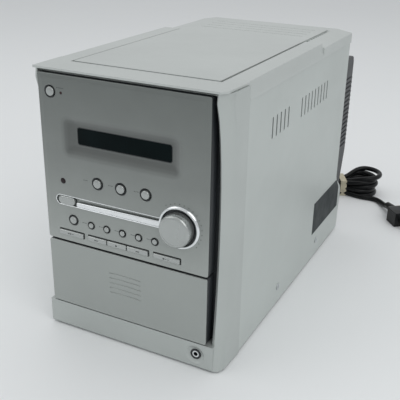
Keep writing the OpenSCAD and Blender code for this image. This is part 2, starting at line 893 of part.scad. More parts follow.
// Moulded frame of the loader: side walls, rails for the tray, a deck and the rod of the drive gear
module loader_frame() {
    y0 = yc(26);
    y1 = yc(184);
    color([0.25, 0.26, 0.28])
    difference() {
        union() {
            for (x = [loader_x0 - 2, loader_x1])
                block(x, x + 2, y0, y1, base_z + sheet + 0.1, 84);
            block(loader_x0 - 2, loader_x1 + 2, y1 - 2, y1, base_z + sheet + 0.1, 84);
            block(loader_x0 - 1, loader_x1 + 1, y0, y1, deck_z - 2, deck_z);
            for (s = [0, 1])
                block(s > 0 ? tray_x1 - 3 : loader_x0 - 1, s > 0 ? loader_x1 + 1 : tray_x0 + 3,
                      y0, y1 - 1, tray_z0 - 3.2, tray_z0 - 0.2);
            translate([drive_at[0], drive_at[1], deck_z - 0.1])
                cylinder(d = 8, h = 8.6);
            translate([drive_at[0], drive_at[1], deck_z])
                cylinder(d = 4, h = gear_z + gear_t - deck_z);
            // Rods that carry the laser sled
            for (s = [-1, 1])
                translate([tray_xm + s * 17, 0, deck_z + 5])
                    rod(3, pocket_y + 12, pocket_y + 64);
            for (y = [pocket_y + 12, pocket_y + 60])
                block(tray_xm - 20, tray_xm + 20, y, y + 4, deck_z - 0.1, deck_z + 8);
            for (x = [-60, 54], y = [yc(60), yc(150)])
                block(x - 5, x + 5, y - 5, y + 5, base_z + sheet + 0.1, deck_z - 1);
        }
        translate([motor_at[0], motor_at[1], deck_z - 4])
            cylinder(d = 6, h = 8);
        translate([tray_xm, pocket_y, deck_z - 4])
            cylinder(d = 9, h = 8);
    }
}

// Laser sled that runs on the two rods
module optical_pickup() {
    color(black)
    translate([tray_xm, pocket_y + 18, deck_z])
        difference() {
            union() {
                translate([-21, 0, 2.4])
                    cube([42, 14, 6.6]);
                translate([0, 7, 8.9])
                    cylinder(d = 9, h = 2.6);
            }
            for (s = [-1, 1])
                translate([s * 17, -1, 5])
                    rod(3.12, 0, 20);
        }
}

// Disc turntable with its motor shaft
module turntable() {
    color(black)
    translate([tray_xm, pocket_y, 0]) {
        translate([0, 0, deck_z + 11])
            cylinder(d = 30, h = 2.4);
        translate([0, 0, deck_z + 13.3])
            cylinder(d1 = 14.6, d2 = 13, h = 1.9);
        translate([0, 0, deck_z - 6])
            cylinder(d = 5, h = 18);
    }
}

// ---------- electronics and rear ----------

board_z = 98;
board_top = board_z + 1.6;

module main_board() {
    z = board_z;
    color([0.1, 0.3, 0.18]) {
        block(-78, 78, yc(24), yc(286), z, z + 1.6);
        for (x = [-60, -38, -16, 52], y = [yc(70), yc(100)])
            translate([x, y, z + 1.5])
                cylinder(d = 12, h = 22);
        for (x = [-58, -20, 18], y = [yc(150), yc(200)])
            block(x, x + 22, y, y + 22, z + 1.5, z + 5);
        block(44, 74, yc(60), yc(92), z + 1.5, z + 16);
    }
}

module power_transformer() {
    color([0.32, 0.31, 0.3]) {
        block(-40, 26, yc(212), yc(262), base_z + sheet + 0.1, 66);
        block(-32, 18, yc(200), yc(274), 19, 56);
    }
}

module heat_sink() {
    color([0.6, 0.62, 0.64]) {
        block(0, 74, yc(262), yc(266), board_top + 0.1, 205);
        for (k = [0 : 11])
            translate([3 + k * 6, yc(265.9), board_top + 0.1])
                cube([2, 24, 205 - board_top - 0.1]);
    }
}

fan_y = rear_y - 20;
fan_size = 60;

module fan_frame() {
    color(black)
    at(fan_at)
    difference() {
        block(-fan_size / 2, fan_size / 2, fan_y, fan_y + 15, -fan_size / 2, fan_size / 2);
        rod(fan_size - 4, fan_y + 2.2, fan_y + 20);
        difference() {
            rod(fan_size - 4, fan_y - 1, fan_y + 3);
            rod(26, fan_y - 2, fan_y + 4);
            for (a = [0, 90])
                rotate([0, a, 0])
                    block(-fan_size, fan_size, fan_y - 2, fan_y + 4, -2, 2);
        }
    }
}

module fan_rotor() {
    color(black)
    at(fan_at) {
        rod(25, fan_y + 3, fan_y + 13);
        for (a = [0 : 51.43 : 350])
            rotate([0, a, 0])
                translate([19, fan_y + 8, 0])
                    rotate([35, 0, 0])
                        cube([15, 1.4, 13], center = true);
    }
}

housing_x = 81;
housing_z0 = 34.3;
housing_z1 = 200;

// Side view of the rear housing, grown inwards by a wall
module housing_outline(t) {
    polygon([
        [upper_rear - 0.7 - t, housing_z0 + t], [lower_rear - 1 - t, housing_z0 + t],
        [rear_y - t, 92], [rear_y - t, housing_z1 - 7],
        [rear_y - 2 - t, housing_z1 - 2 - t / 2], [rear_y - 7, housing_z1 - t],
        [upper_rear - 0.7 - t, housing_z1 - t]
    ]);
}

module rear_housing() {
    color(black)
    difference() {
        union() {
            difference() {
                side_slab(-housing_x, housing_x)
                    housing_outline(0);
                side_slab(-housing_x + 2.4, housing_x - 2.4)
                    housing_outline(2.4);
            }
            // Walls of the sunken connector bay
            block(bay[0] - 2, bay[1] + 2, bay_y - 2.4, rear_y - 0.1, bay[2] - 2, bay[3] + 2);
            // Ribs on both flanks
            for (s = [-1, 1], k = [0 : 15])
                block(s > 0 ? housing_x - 0.1 : -housing_x - 1, s > 0 ? housing_x + 1 : -housing_x + 0.1,
                      upper_rear + 5, rear_y - 3, 100 + 5 * k, 102 + 5 * k);
        }
        block(bay[0], bay[1], bay_y, rear_y + 1, bay[2], bay[3]);
        // Fan grille: concentric slots between four spokes
        at(fan_at)
            difference() {
                rod(54, rear_y - 4, rear_y + 1);
                for (d = [46, 34, 22])
                    difference() {
                        rod(d, rear_y - 5, rear_y + 2);
                        rod(d - 6, rear_y - 6, rear_y + 3);
                    }
                for (a = [45, 135])
                    rotate([0, a, 0])
                        block(-30, 30, rear_y - 5, rear_y + 2, -1.5, 1.5);
            }
        at(gland_at)
            rod(11, rear_y - 4, rear_y + 1);
        // Openings behind the connectors
        for (p = jack_pos)
            at(p)
                rod(9.4, bay_y - 4, bay_y + 1);
        for (b = terminal_box)
            block(b[0] + 1, b[1] - 1, bay_y - 4, bay_y + 1, b[2] + 1, b[3] - 1);
    }
}

// Places of the phono jacks, and boxes of the two push terminal blocks
jack_pos = [for (x = [22, 40], z = [156, 174]) [x, z]];
terminal_box = [[14, 66, 104, 122], [14, 48, 130, 144]];

module signal_jacks() {
    color([0.75, 0.74, 0.7])
    for (p = jack_pos)
        at(p)
            difference() {
                union() {
                    rod(8.3, bay_y + 0.3, rear_y - 0.1);
                    rod(12, bay_y + 0.1, bay_y + 1.2);
                    rod(8.6, bay_y - 8, bay_y + 0.4);
                }
                rod(3.4, bay_y - 6, rear_y + 1);
            }
}

module wire_terminals() {
    color([0.15, 0.15, 0.16])
    for (b = terminal_box)
        difference() {
            union() {
                block(b[0], b[1], bay_y + 0.1, bay_y + 4.6, b[2], b[3]);
                block(b[0] + 1.4, b[1] - 1.4, bay_y - 9, bay_y + 0.2, b[2] + 1.4, b[3] - 1.4);
            }
            for (x = [b[0] + 6 : 10 : b[1] - 5])
                at([x, b[2] + 4])
                    rod(3, bay_y - 4, bay_y + 6);
            for (x = [b[0] + 2.6 : 10 : b[1] - 7])
                block(x, x + 7, bay_y + 3.2, bay_y + 6, b[2] + 7, b[3] - 1.5);
        }
}

module rear_panel() {
    y1 = rear_panel_y;
    color(silver_dark)
    difference() {
        block(-panel_in + 0.1, panel_in - 0.1, y1 - sheet, y1, 34.4, skirt_z + 3);
        block(-housing_x + 2.6, housing_x - 2.6, y1 - 3, y1 + 3, housing_z0 + 5, housing_z1 - 3);
        for (x = [-74, 74])
            at([x, 210])
                rod(3.1, y1 - 3, y1 + 3);
        for (k = [-8 : 8])
            block(k * 7 - 1.5, k * 7 + 1.5, y1 - 3, y1 + 3, 204, 215);
    }
}

module cord_gland() {
    color(black)
    at(gland_at) {
        difference() {
            union() {
                rod(14, rear_y + 0.05, rear_y + 2.5);
                rod(10.6, rear_y - 3.6, rear_y + 0.1);
                translate([0, rear_y + 2.4, 0])
                    rotate([-90, 0, 0])
                        cylinder(d1 = 11, d2 = cord_d + 2, h = 20);
            }
            rod(cord_d + 0.1, rear_y - 5, rear_y + 30);
        }
    }
}

module power_cord() {
    color(black) {
        tube(lead_points, cord_d / 2);
        tube(tail_points, cord_d / 2);
    }
}

// Plan of the hank: two round ends and the tied middle
module hank_outline() {
    near = -hank_l / 2 + hank_w / 2 + 2.5;
    far = hank_l / 2 - hank_w / 2 + 2;
    m = hank_mid_w / 2;
    translate([near, 0])
        circle(d = hank_w + 6);
    translate([far, 0])
        circle(d = hank_w);
    polygon([
        [near, -hank_w / 2 - 3], [-6, -m], [6, -m], [far, -hank_w / 2],
        [far, hank_w / 2], [6, m], [-6, m], [near, hank_w / 2 + 3]
    ]);
}

// Side view of the hank, whose turns fan out upwards from the tie
module hank_side() {
    polygon([
        [-hank_l, 0], [-4.2, 0], [-4.2, tie_t], [4.2, tie_t], [4.2, 0], [hank_l, 0],
        [hank_l, hank_h], [28, hank_h], [6, hank_mid_h], [-6, hank_mid_h], [-28, hank_h],
        [-hank_l, hank_h]
    ]);
}

module cord_hank() {
    color(black)
    translate([hank_at[0], hank_at[1], 0])
        rotate([0, 0, hank_turn])
            intersection() {
                linear_extrude(hank_h)
                    hank_outline();
                slab(-hank_w, hank_w)
                    hank_side();
            }
}

module cord_tie() {
    w = hank_mid_w;
    color([0.82, 0.76, 0.64])
    translate([hank_at[0], hank_at[1], 0])
        rotate([0, 0, hank_turn])
            difference() {
                translate([-4, -w / 2 - tie_t, 0])
                    cube([8, w + 2 * tie_t, hank_mid_h + tie_t]);
                translate([-5, -w / 2, tie_t])
                    cube([10, w, hank_mid_h - tie_t]);
            }
}

// Moulded two-pin plug lying on its side
module power_plug() {
    color(black)
    translate(plug_at)
        rotate([0, 0, plug_turn])
            rotate([0, 90, 0]) {
                translate([0, 0, -16])
                    difference() {
                        cylinder(d1 = cord_d + 1.6, d2 = 11, h = 16.1);
                        translate([0, 0, -1])
                            cylinder(d = cord_d + 0.1, h = 16);
                    }
                hull() {
                    translate([0, 0, 0])
                        linear_extrude(1)
                            square([11, 14], center = true);
                    translate([0, 0, 8])
                        linear_extrude(20)
                            square([17, 25], center = true);
                }
                for (s = [-1, 1])
                    translate([-3.15, s * 6.35 - 0.75, 27.9])
                        cube([6.3, 1.5, 17.2]);
            }
}

module rating_label() {
    color([0.2, 0.24, 0.26])
    side_slab(panel_x + 0.02, panel_x + 0.22)
        polygon([
            [yc(220.6), 31], [yc(220.6), 66.4], [yc(298), 66.4], [yc(308.5), 55], [yc(308.5), 31]
        ]);
}

front_bezel();
control_panel();
fascia_lens();
display_window();
ir_window();
standby_lamp();
button_rings();
power_button();
round_button_1();
round_button_2();
round_button_3();
chrome_slot();
play_button();
volume_ring();
volume_knob();
knob_shaft();
volume_encoder();
source_button();
disc_button_1();
disc_button_2();
disc_button_3();
disc_button_4();
disc_button_5();
transport_key_1();
transport_key_2();
transport_key_3();
transport_key_4();
transport_key_5();
key_board();
headphone_jack();
drawer_front();
disc_tray();
drive_gear();
motor_gear();
loading_motor();
loader_frame();
optical_pickup();
turntable();
main_board();
power_transformer();
heat_sink();
fan_frame();
fan_rotor();
rear_housing();
rear_panel();
wire_terminals();
signal_jacks();
cord_gland();
power_cord();
cord_hank();
cord_tie();
power_plug();
side_panel_left();
side_panel_right();
bottom_chassis();
top_cover();
top_plate();
feet();
rating_label();
case_screws();
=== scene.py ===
import json
import math

import bmesh
import bpy
import numpy as np
from mathutils import Matrix, Vector


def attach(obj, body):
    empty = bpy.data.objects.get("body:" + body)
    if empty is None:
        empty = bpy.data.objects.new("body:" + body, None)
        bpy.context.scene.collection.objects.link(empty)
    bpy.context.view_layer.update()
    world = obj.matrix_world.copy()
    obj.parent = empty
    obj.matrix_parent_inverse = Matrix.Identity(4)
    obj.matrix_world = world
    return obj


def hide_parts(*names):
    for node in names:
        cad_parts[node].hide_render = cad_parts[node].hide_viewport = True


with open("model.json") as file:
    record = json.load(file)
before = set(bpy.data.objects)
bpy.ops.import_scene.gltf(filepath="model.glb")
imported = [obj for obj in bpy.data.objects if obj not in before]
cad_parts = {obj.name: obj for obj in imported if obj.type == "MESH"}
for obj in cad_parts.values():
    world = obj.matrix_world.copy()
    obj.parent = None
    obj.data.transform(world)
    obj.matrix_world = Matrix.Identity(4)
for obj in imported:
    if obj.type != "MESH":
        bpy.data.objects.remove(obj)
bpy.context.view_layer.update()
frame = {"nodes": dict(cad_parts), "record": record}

MM = 0.001
NODE = frame["nodes"]
BODY_OF = {n: b for b, ns in frame["record"]["behaviour"]["bodies"].items() for n in ns}
scene = bpy.context.scene


# ---------------------------------------------------------------- camera

def make_camera():
    """A camera at eye height over a table, to the right of the front and looking down on it."""
    yaw, pitch, roll = 0.4666, 0.4109, 0.0188
    place = Vector((0.27030, -0.57026, 0.35060))
    forward = Vector((-math.sin(yaw) * math.cos(pitch), math.cos(yaw) * math.cos(pitch), -math.sin(pitch)))
    level = Vector((math.cos(yaw), math.sin(yaw), 0))
    above = level.cross(forward)
    right = math.cos(roll) * level + math.sin(roll) * above
    up = -math.sin(roll) * level + math.cos(roll) * above
    data = bpy.data.cameras.new("camera")
    data.sensor_width = 36
    data.lens = 61.92
    data.clip_start = 0.01
    camera = bpy.data.objects.new("camera", data)
    scene.collection.objects.link(camera)
    turn = Matrix((right, up, -forward)).transposed().to_4x4()
    camera.matrix_world = Matrix.Translation(place) @ turn
    scene.camera = camera


make_camera()


# ---------------------------------------------------------------- materials

class Mat:
    """A principled material with short calls for its nodes."""

    def __init__(self, name, rgb, rough=0.5, metal=0.0, **sockets):
        self.mat = bpy.data.materials.new(name)
        self.mat.use_nodes = True
        self.tree = self.mat.node_tree
        self.tree.nodes.clear()
        self.out = self.node("ShaderNodeOutputMaterial")
        self.bsdf = self.node("ShaderNodeBsdfPrincipled")
        self.link(self.bsdf.outputs[0], self.out.inputs[0])
        self.coord = self.node("ShaderNodeTexCoord").outputs["Object"]
        self.bsdf.inputs["Base Color"].default_value = (*rgb, 1)
        self.bsdf.inputs["Roughness"].default_value = rough
        self.bsdf.inputs["Metallic"].default_value = metal
        for key, value in sockets.items():
            self.bsdf.inputs[key.replace("_", " ")].default_value = value
        self.rgb = rgb
        self.rough = rough
        self.height = None

    def node(self, kind, **values):
        n = self.tree.nodes.new(kind)
        for key, value in values.items():
            setattr(n, key, value)
        return n

    def link(self, a, b):
        self.tree.links.new(a, b)

    def noise(self, scale, detail=3, stretch=None):
        n = self.node("ShaderNodeTexNoise")
        n.inputs["Scale"].default_value = scale
        n.inputs["Detail"].default_value = detail
        source = self.coord
        if stretch:
            m = self.node("ShaderNodeMapping")
            m.inputs["Scale"].default_value = stretch
            self.link(source, m.inputs[0])
            source = m.outputs[0]
        self.link(source, n.inputs["Vector"])
        return n.outputs["Fac"]

    def ramp(self, source, stops, smooth=False):
        r = self.node("ShaderNodeValToRGB")
        if smooth:
            r.color_ramp.interpolation = "EASE"
        while len(r.color_ramp.elements) < len(stops):
            r.color_ramp.elements.new(0.5)
        for e, (at, colour) in zip(r.color_ramp.elements, stops):
            e.position = at
            e.color = (*colour, 1) if hasattr(colour, "__len__") else (colour, colour, colour, 1)
        self.link(source, r.inputs[0])
        return r.outputs[0]

    def maths(self, kind, a, b=0.0):
        n = self.node("ShaderNodeMath", operation=kind)
        for i, v in enumerate((a, b)):
            if isinstance(v, (int, float)):
                n.inputs[i].default_value = v
            else:
                self.link(v, n.inputs[i])
        return n.outputs[0]

    def span(self, source, low, high, a=0.0, b=1.0):
        """source mapped from low..high to a..b, and held there."""
        n = self.node("ShaderNodeMapRange")
        n.inputs["From Min"].default_value = low
        n.inputs["From Max"].default_value = high
        n.inputs["To Min"].default_value = a
        n.inputs["To Max"].default_value = b
        self.link(source, n.inputs["Value"])
        return n.outputs[0]

    def axis(self, k):
        n = self.node("ShaderNodeSeparateXYZ")
        self.link(self.coord, n.inputs[0])
        return n.outputs[k]

    def mix(self, factor, a, b, kind="MIX"):
        n = self.node("ShaderNodeMix", data_type="RGBA", blend_type=kind)
        for socket, v in ((n.inputs[0], factor), (n.inputs[6], a), (n.inputs[7], b)):
            if isinstance(v, (int, float)):
                socket.default_value = v
            elif hasattr(v, "__len__"):
                socket.default_value = (*v, 1)
            else:
                self.link(v, socket)
        return n.outputs[2]

    def colour(self, source):
        self.link(source, self.bsdf.inputs["Base Color"])
        return self

    def mottle(self, scale, share, base=None):
        """Light and dark clouds over the colour, by a share of it."""
        clouds = self.span(self.noise(scale, 4), 0.3, 0.7, 1 - share, 1 + share)
        over = self.node("ShaderNodeVectorMath", operation="SCALE")
        if base is None:
            over.inputs[0].default_value = self.rgb
        else:
            self.link(base, over.inputs[0])
        self.link(clouds, over.inputs["Scale"])
        return self.colour(over.outputs[0])

    def uneven(self, scale, share, stretch=None):
        """Roughness that wanders by a share either way."""
        rough = self.span(self.noise(scale, 4, stretch), 0.25, 0.75, self.rough - share, self.rough + share)
        self.link(rough, self.bsdf.inputs["Roughness"])
        return self

    def bump(self, source, strength, depth):
        b = self.node("ShaderNodeBump")
        b.inputs["Strength"].default_value = strength
        b.inputs["Distance"].default_value = depth
        self.link(source, b.inputs["Height"])
        if self.height:
            self.link(self.height, b.inputs["Normal"])
        self.height = b.outputs[0]
        self.link(self.height, self.bsdf.inputs["Normal"])
        return self


MAT = {}


def finish(name, rgb, rough, metal=0.0, clouds=None, wander=None, grain=None, **sockets):
    """A material with clouds (scale, share) in its colour, a wander (scale, share) in its roughness
    and a grain (strength, depth, then the noise's own values) in its surface."""
    m = Mat(name, rgb, rough, metal, **sockets)
    if clouds:
        m.mottle(*clouds)
    if wander:
        m.uneven(*wander)
    if grain:
        strength, depth, *texture = grain
        m.bump(m.noise(*texture), strength, depth)
    MAT[name] = m


# Colour, roughness, metal, scale and depth of the grain, and clear coat of each silver paint
SILVERS = {
    "bezel_silver": ((0.475, 0.505, 0.49), 0.36, 0.45, 2600, 0.00002, 0.15),
    "cover_silver": ((0.53, 0.56, 0.545), 0.36, 0.4, 1900, 0.00003, 0.1),
    "panel_silver": ((0.53, 0.565, 0.548), 0.42, 0.4, 2300, 0.00003, 0.0),
    "drawer_silver": ((0.36, 0.385, 0.37), 0.34, 0.45, 3000, 0.00001, 0.4),
    "button_silver": ((0.43, 0.45, 0.44), 0.27, 0.8, 3400, 0.00001, 0.2),
}


def make_fascia_grey():
    """Silver grey behind a glossy face. It darkens upwards as a painted reflection of the pale floor below
    and the darker space above, with painted shade in the dish around the display.
    """
    m = Mat("fascia_grey", (0.2, 0.22, 0.21), 0.3, 0.35, Coat_Weight=1.0, Coat_Roughness=0.04)
    bottom, top = 0.087, 0.228
    # Painted reflection: the colour runs from light at the bottom to dark at the top, as the glossy face
    # would mirror the floor and the space above.
    painted_reflection = m.ramp(m.span(m.axis(2), bottom, top), [
        (0, (0.35, 0.375, 0.358)), (0.5, (0.195, 0.212, 0.202)), (1, (0.125, 0.14, 0.132))])

    def past(k, low, high):
        """How far a place lies outside low..high along an axis, as a share of the shade's width."""
        below = m.maths("SUBTRACT", low, m.axis(k))
        beyond = m.maths("SUBTRACT", m.axis(k), high)
        return m.maths("MULTIPLY", m.maths("MAXIMUM", m.maths("MAXIMUM", below, beyond), 0.0), 135)

    # Painted shade: the colour darkens around the display, as if the dish lay in shade.
    across = past(0, -0.0525, 0.0425)
    upward = past(2, 0.1690, 0.1895)
    away = m.maths("SQRT", m.maths("ADD", m.maths("POWER", across, 2.0), m.maths("POWER", upward, 2.0)))
    shade = m.ramp(away, [(0, 0.5), (0.3, 0.6), (0.7, 0.9), (1, 1.0)], True)
    m.mottle(60, 0.03, m.mix(1.0, painted_reflection, shade, "MULTIPLY"))
    m.bump(m.noise(3800, 2), 0.25, 0.00001)
    MAT["fascia_grey"] = m


def make_board_green():
    """Green board with faint tracks along X."""
    m = Mat("board_green", (0.02, 0.10, 0.05), 0.4, 0.0, Coat_Weight=0.5)
    tracks = m.noise(260, 2, (1, 0.12, 1))
    m.colour(m.mix(m.span(tracks, 0.5, 0.54), (0.015, 0.085, 0.042), (0.03, 0.15, 0.075)))
    m.bump(tracks, 0.3, 0.00003)
    MAT["board_green"] = m


def make_core_steel():
    """Steel of a stack of thin sheets."""
    m = Mat("core_steel", (0.32, 0.31, 0.30), 0.45, 0.8)
    stack = m.node("ShaderNodeTexWave", wave_type="BANDS", bands_direction="Z")
    stack.inputs["Scale"].default_value = 350
    m.link(m.coord, stack.inputs["Vector"])
    m.mottle(30, 0.12)
    m.bump(stack.outputs["Fac"], 0.5, 0.0001)
    MAT["core_steel"] = m


for paint, (rgb, rough, metal, scale, depth, coat) in SILVERS.items():
    finish(paint, rgb, rough, metal, (14, 0.035), (30, 0.05), (0.35, depth, scale, 2),
           Coat_Weight=coat, Coat_Roughness=0.12)
make_fascia_grey()
make_board_green()
make_core_steel()
finish("lens_clear", (0.8, 0.84, 0.83), 0.03, wander=(40, 0.02), Transmission_Weight=1.0, IOR=1.49)
finish("display_dark", (0.002, 0.0055, 0.006), 0.2, clouds=(50, 0.2), Specular_IOR_Level=0.06)
finish("ir_dark", (0.012, 0.006, 0.007), 0.12, clouds=(300, 0.2), Specular_IOR_Level=0.3)
finish("lamp_red", (0.03, 0.012, 0.012), 0.12, clouds=(400, 0.2), Specular_IOR_Level=0.3)
finish("chrome_trim", (0.83, 0.85, 0.86), 0.1, 1.0, (120, 0.03), (200, 0.04))
finish("black_plastic", (0.018, 0.021, 0.024), 0.42, 0.0, (25, 0.15), (60, 0.06), (0.5, 0.00004, 1500, 3))
finish("zinc_steel", (0.55, 0.57, 0.58), 0.36, 0.9, (40, 0.08), (70, 0.1), (0.2, 0.00002, 900, 2))
finish("fin_aluminium", (0.62, 0.64, 0.66), 0.32, 1.0, (60, 0.06), (300, 0.1, (1, 1, 0.05)))
finish("gear_nylon", (0.72, 0.69, 0.60), 0.45, clouds=(90, 0.05), grain=(0.2, 0.00002, 1200, 2),
       Subsurface_Weight=0.1, Subsurface_Scale=0.002)
finish("cord_black", (0.006, 0.0065, 0.007), 0.36, 0.0, (40, 0.2), (90, 0.08), (0.25, 0.00005, 700, 3),
       Specular_IOR_Level=0.22)
finish("foot_rubber", (0.015, 0.016, 0.017), 0.8, clouds=(60, 0.2), grain=(0.5, 0.00005, 1800, 2))
finish("slate_label", (0.015, 0.022, 0.024), 0.5, 0.0, (60, 0.12), (80, 0.08), (0.25, 0.00003, 900, 2),
       Specular_IOR_Level=0.3)
finish("tie_beige", (0.46, 0.42, 0.31), 0.6, clouds=(200, 0.12), grain=(0.6, 0.0001, 1600, 3, (1, 1, 0.3)))

# The slot that each CAD node takes its finish from
SLOT_OF = {row["node"]: row["material_slot"] for row in frame["record"]["subparts"]}


def dress(obj, slot):
    if obj.material_slots:
        for s in obj.material_slots:
            s.material = MAT[slot].mat
    else:
        obj.data.materials.append(MAT[slot].mat)
    return obj


# ---------------------------------------------------------------- mesh helpers

# Boxes across Y are [x0, x1, z0, z1], in millimetres
FASCIA = (-78.8, 71.5, 87.2, 228.0)
# Front planes of the chin and of the fascia's lens
CHIN_Y = -160.0
LENS_Y = -160.5


def piece(name, me, slot, body, *nodes, sharp=40, bevel=0.0):
    """A mesh as a finished piece: normals out, smooth where it is round, and riding on its body."""
    bm = bmesh.new()
    bm.from_mesh(me)
    bmesh.ops.remove_doubles(bm, verts=bm.verts, dist=1e-7)
    bmesh.ops.dissolve_degenerate(bm, edges=bm.edges, dist=1e-8)
    bmesh.ops.recalc_face_normals(bm, faces=bm.faces)
    bm.to_mesh(me)
    bm.free()
    me.shade_smooth()
    if not bevel:
        me.set_sharp_from_angle(angle=math.radians(sharp))
    obj = bpy.data.objects.new(name, me)
    scene.collection.objects.link(obj)
    if bevel:
        mod = obj.modifiers.new("edges", "BEVEL")
        mod.width = bevel * MM
        mod.segments = 2
        mod.limit_method = "ANGLE"
        mod.angle_limit = math.radians(sharp)
        mod.use_clamp_overlap = True
        mod = obj.modifiers.new("shade", "WEIGHTED_NORMAL")
        mod.keep_sharp = False
        mod.weight = 80
    dress(obj, slot)
    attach(obj, body)
    if nodes:
        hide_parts(*nodes)
    return obj


def fine(node, bevel, sharp=30, flat=1.0):
    """A CAD node's own shape with its edges rounded."""
    me = NODE[node].data.copy()
    me.name = node + "_fine"
    bm = bmesh.new()
    bm.from_mesh(me)
    bmesh.ops.remove_doubles(bm, verts=bm.verts, dist=1e-6)
    bmesh.ops.dissolve_limit(bm, angle_limit=math.radians(flat), verts=bm.verts, edges=bm.edges)
    bm.to_mesh(me)
    bm.free()
    return piece(node + "_fine", me, SLOT_OF[node], BODY_OF[node], node, sharp=sharp, bevel=bevel)


def solid(name, verts, faces):
    me = bpy.data.meshes.new(name)
    me.from_pydata([(x * MM, y * MM, z * MM) for x, y, z in verts], [], faces)
    me.validate()
    return me


def joined(name, parts):
    """Several meshes, each a (verts, faces) pair, as one."""
    verts, faces = [], []
    for v, f in parts:
        k = len(verts)
        verts += list(v)
        faces += [tuple(i + k for i in face) for face in f]
    return solid(name, verts, faces)


def loft(rings, caps=True):
    """Rings of the same number of points joined into a skin."""
    n = len(rings[0])
    verts = [p for ring in rings for p in ring]
    faces = []
    last = len(rings) - 1
    for i in range(last):
        for k in range(n):
            m = (k + 1) % n
            faces.append((i * n + k, i * n + m, (i + 1) * n + m, (i + 1) * n + k))
    if caps:
        faces.append(tuple(range(n)))
        faces.append(tuple(last * n + k for k in range(n)))
    return verts, faces


def band(rings):
    """Rings joined into a skin that closes on itself, the last ring to the first."""
    return loft(rings + rings[:1], caps=False)


def round_rect(x0, x1, z0, z1, r, steps=7):
    """A rectangle with round corners, as [x, z] points."""
    r = max(0.02, min(r, (x1 - x0) / 2 - 0.01, (z1 - z0) / 2 - 0.01))
    out = []
    corners = ((x1 - r, z1 - r, 0), (x0 + r, z1 - r, 90), (x0 + r, z0 + r, 180), (x1 - r, z0 + r, 270))
    for cx, cz, a0 in corners:
        for s in range(steps + 1):
            a = math.radians(a0 + 90 * s / steps)
            out.append((cx + r * math.cos(a), cz + r * math.sin(a)))
    return out


def ring_in(box, margin, r, y, steps=7):
    """A round-cornered ring at y, a margin inside the box."""
    x0, x1, z0, z1 = box
    outline = round_rect(x0 + margin, x1 - margin, z0 + margin, z1 - margin, r, steps)
    return [(x, y, z) for x, z in outline]


def pad(box, r, stations, steps=7):
    """A round-cornered slab along Y: each station is (margin, y)."""
    return loft([ring_in(box, m, r - m, y, steps) for m, y in stations])


def edge(y_front, y_back, r, steps=4):
    """Stations for a slab whose front edge is rounded to r."""
    out = [(0.0, y_back)]
    for s in range(steps + 1):
        a = math.radians(90 * s / steps)
        out.append((r * (1 - math.cos(a)), y_front + r * (1 - math.sin(a))))
    return out


def turned(at, profile, count):
    """Rings about an axis along Y at [x, z], for a profile of (radius, y)."""
    angles = [2 * math.pi * k / count for k in range(count)]
    return [[(at[0] + r * math.cos(a), y, at[1] + r * math.sin(a)) for a in angles] for r, y in profile]


def lathe(at, profile, count=64):
    """A turned solid; its profile runs from the back to the front."""
    return loft(turned(at, profile, count))


def tube_ring(at, section, count=64):
    """A turned ring with a closed section of (radius, y)."""
    return band(turned(at, section, count))


def cut(me, cutter):
    """me with the cutter's solids taken out of it."""
    a = bpy.data.objects.new("cut_a", me)
    b = bpy.data.objects.new("cut_b", cutter)
    for o in (a, b):
        bm = bmesh.new()
        bm.from_mesh(o.data)
        bmesh.ops.remove_doubles(bm, verts=bm.verts, dist=1e-8)
        bmesh.ops.recalc_face_normals(bm, faces=bm.faces)
        bm.to_mesh(o.data)
        bm.free()
        scene.collection.objects.link(o)
    mod = a.modifiers.new("cut", "BOOLEAN")
    mod.operation = "DIFFERENCE"
    mod.solver = "EXACT"
    mod.object = b
    bpy.context.view_layer.update()
    out = bpy.data.meshes.new_from_object(a.evaluated_get(bpy.context.evaluated_depsgraph_get()))
    for o in (a, b):
        data = o.data
        bpy.data.objects.remove(o)
        bpy.data.meshes.remove(data)
    return out


# ---------------------------------------------------------------- mains lead

CORD_D = 6.0
LEAD = [
    (-55, 171, 100), (-55, 178, 100), (-55, 186, 100), (-55, 201, 98), (-54, 215, 91), (-53, 225, 80),
    (-52, 230, 66), (-51, 232, 51), (-49, 233, 37), (-45, 233, 23), (-38, 231.5, 11.5), (-27, 228.5, 4.6),
    (-15, 226.3, 3), (-4, 226.2, 3),
]
# Middle and turn of the hank on the floor; its own axes are u along it, v across it and w up
HANK_AT = Vector((58, 265, 0))
HANK_TURN = math.radians(27)
# Radius of the end folds, and where they start at the far and the near end
FOLD_R = 20.0
LAST_R = 26.0
FAR_U = 24.0
NEAR_U = 37.0
FOLD_DEGREES = (30, 60, 90, 120, 150)
# Height of each turn's folds, and how much further out its far fold starts
TURN_W = [3, 9, 15, 20.9, 26.6]
REACH = [0, -2, 1, -1, 5]
# Each turn's place in the tie, as [v, w], on its way out and on its way back
TIE_OUT = [(-3.2, 4.2), (-9.3, 10.3), (-3.2, 10.3), (-9.3, 16.3), (-3.2, 16.3)]
TIE_BACK = [(9.3, 4.2), (3.2, 4.2), (9.3, 10.3), (3.2, 10.3), (6.2, 16.3)]
# Where the lead comes into the hank and where it leaves, as [u, v, w]
HANK_START = [(-62, -10.5, 3), (-50, -9, 3), (-36, -7.5, 3), (-22, -5.5, 3.2), (-10, -3.8, 3.9)]
HANK_END = [
    (-37, -26, 3), (-27, -23.8, 3), (-14, -15.5, 3.4), (0, -9.3, 4.2), (9, -14, 3.4), (18, -22, 3),
    (28, -26.5, 3),
]
TAIL = [
    (104.3, 256.2, 3), (110.5, 252.4, 3.2), (115.4, 247, 3.7), (119.8, 240.4, 4.6), (124.6, 233.3, 6),
    (130.6, 226.1, 8), (136.8, 218.7, 9),
]


def hank_point(u, v, w):
    c, s = math.cos(HANK_TURN), math.sin(HANK_TURN)
    return (HANK_AT.x + c * u - s * v, HANK_AT.y + s * u + c * v, w)


def eased(t):
    return t * t * (3 - 2 * t)


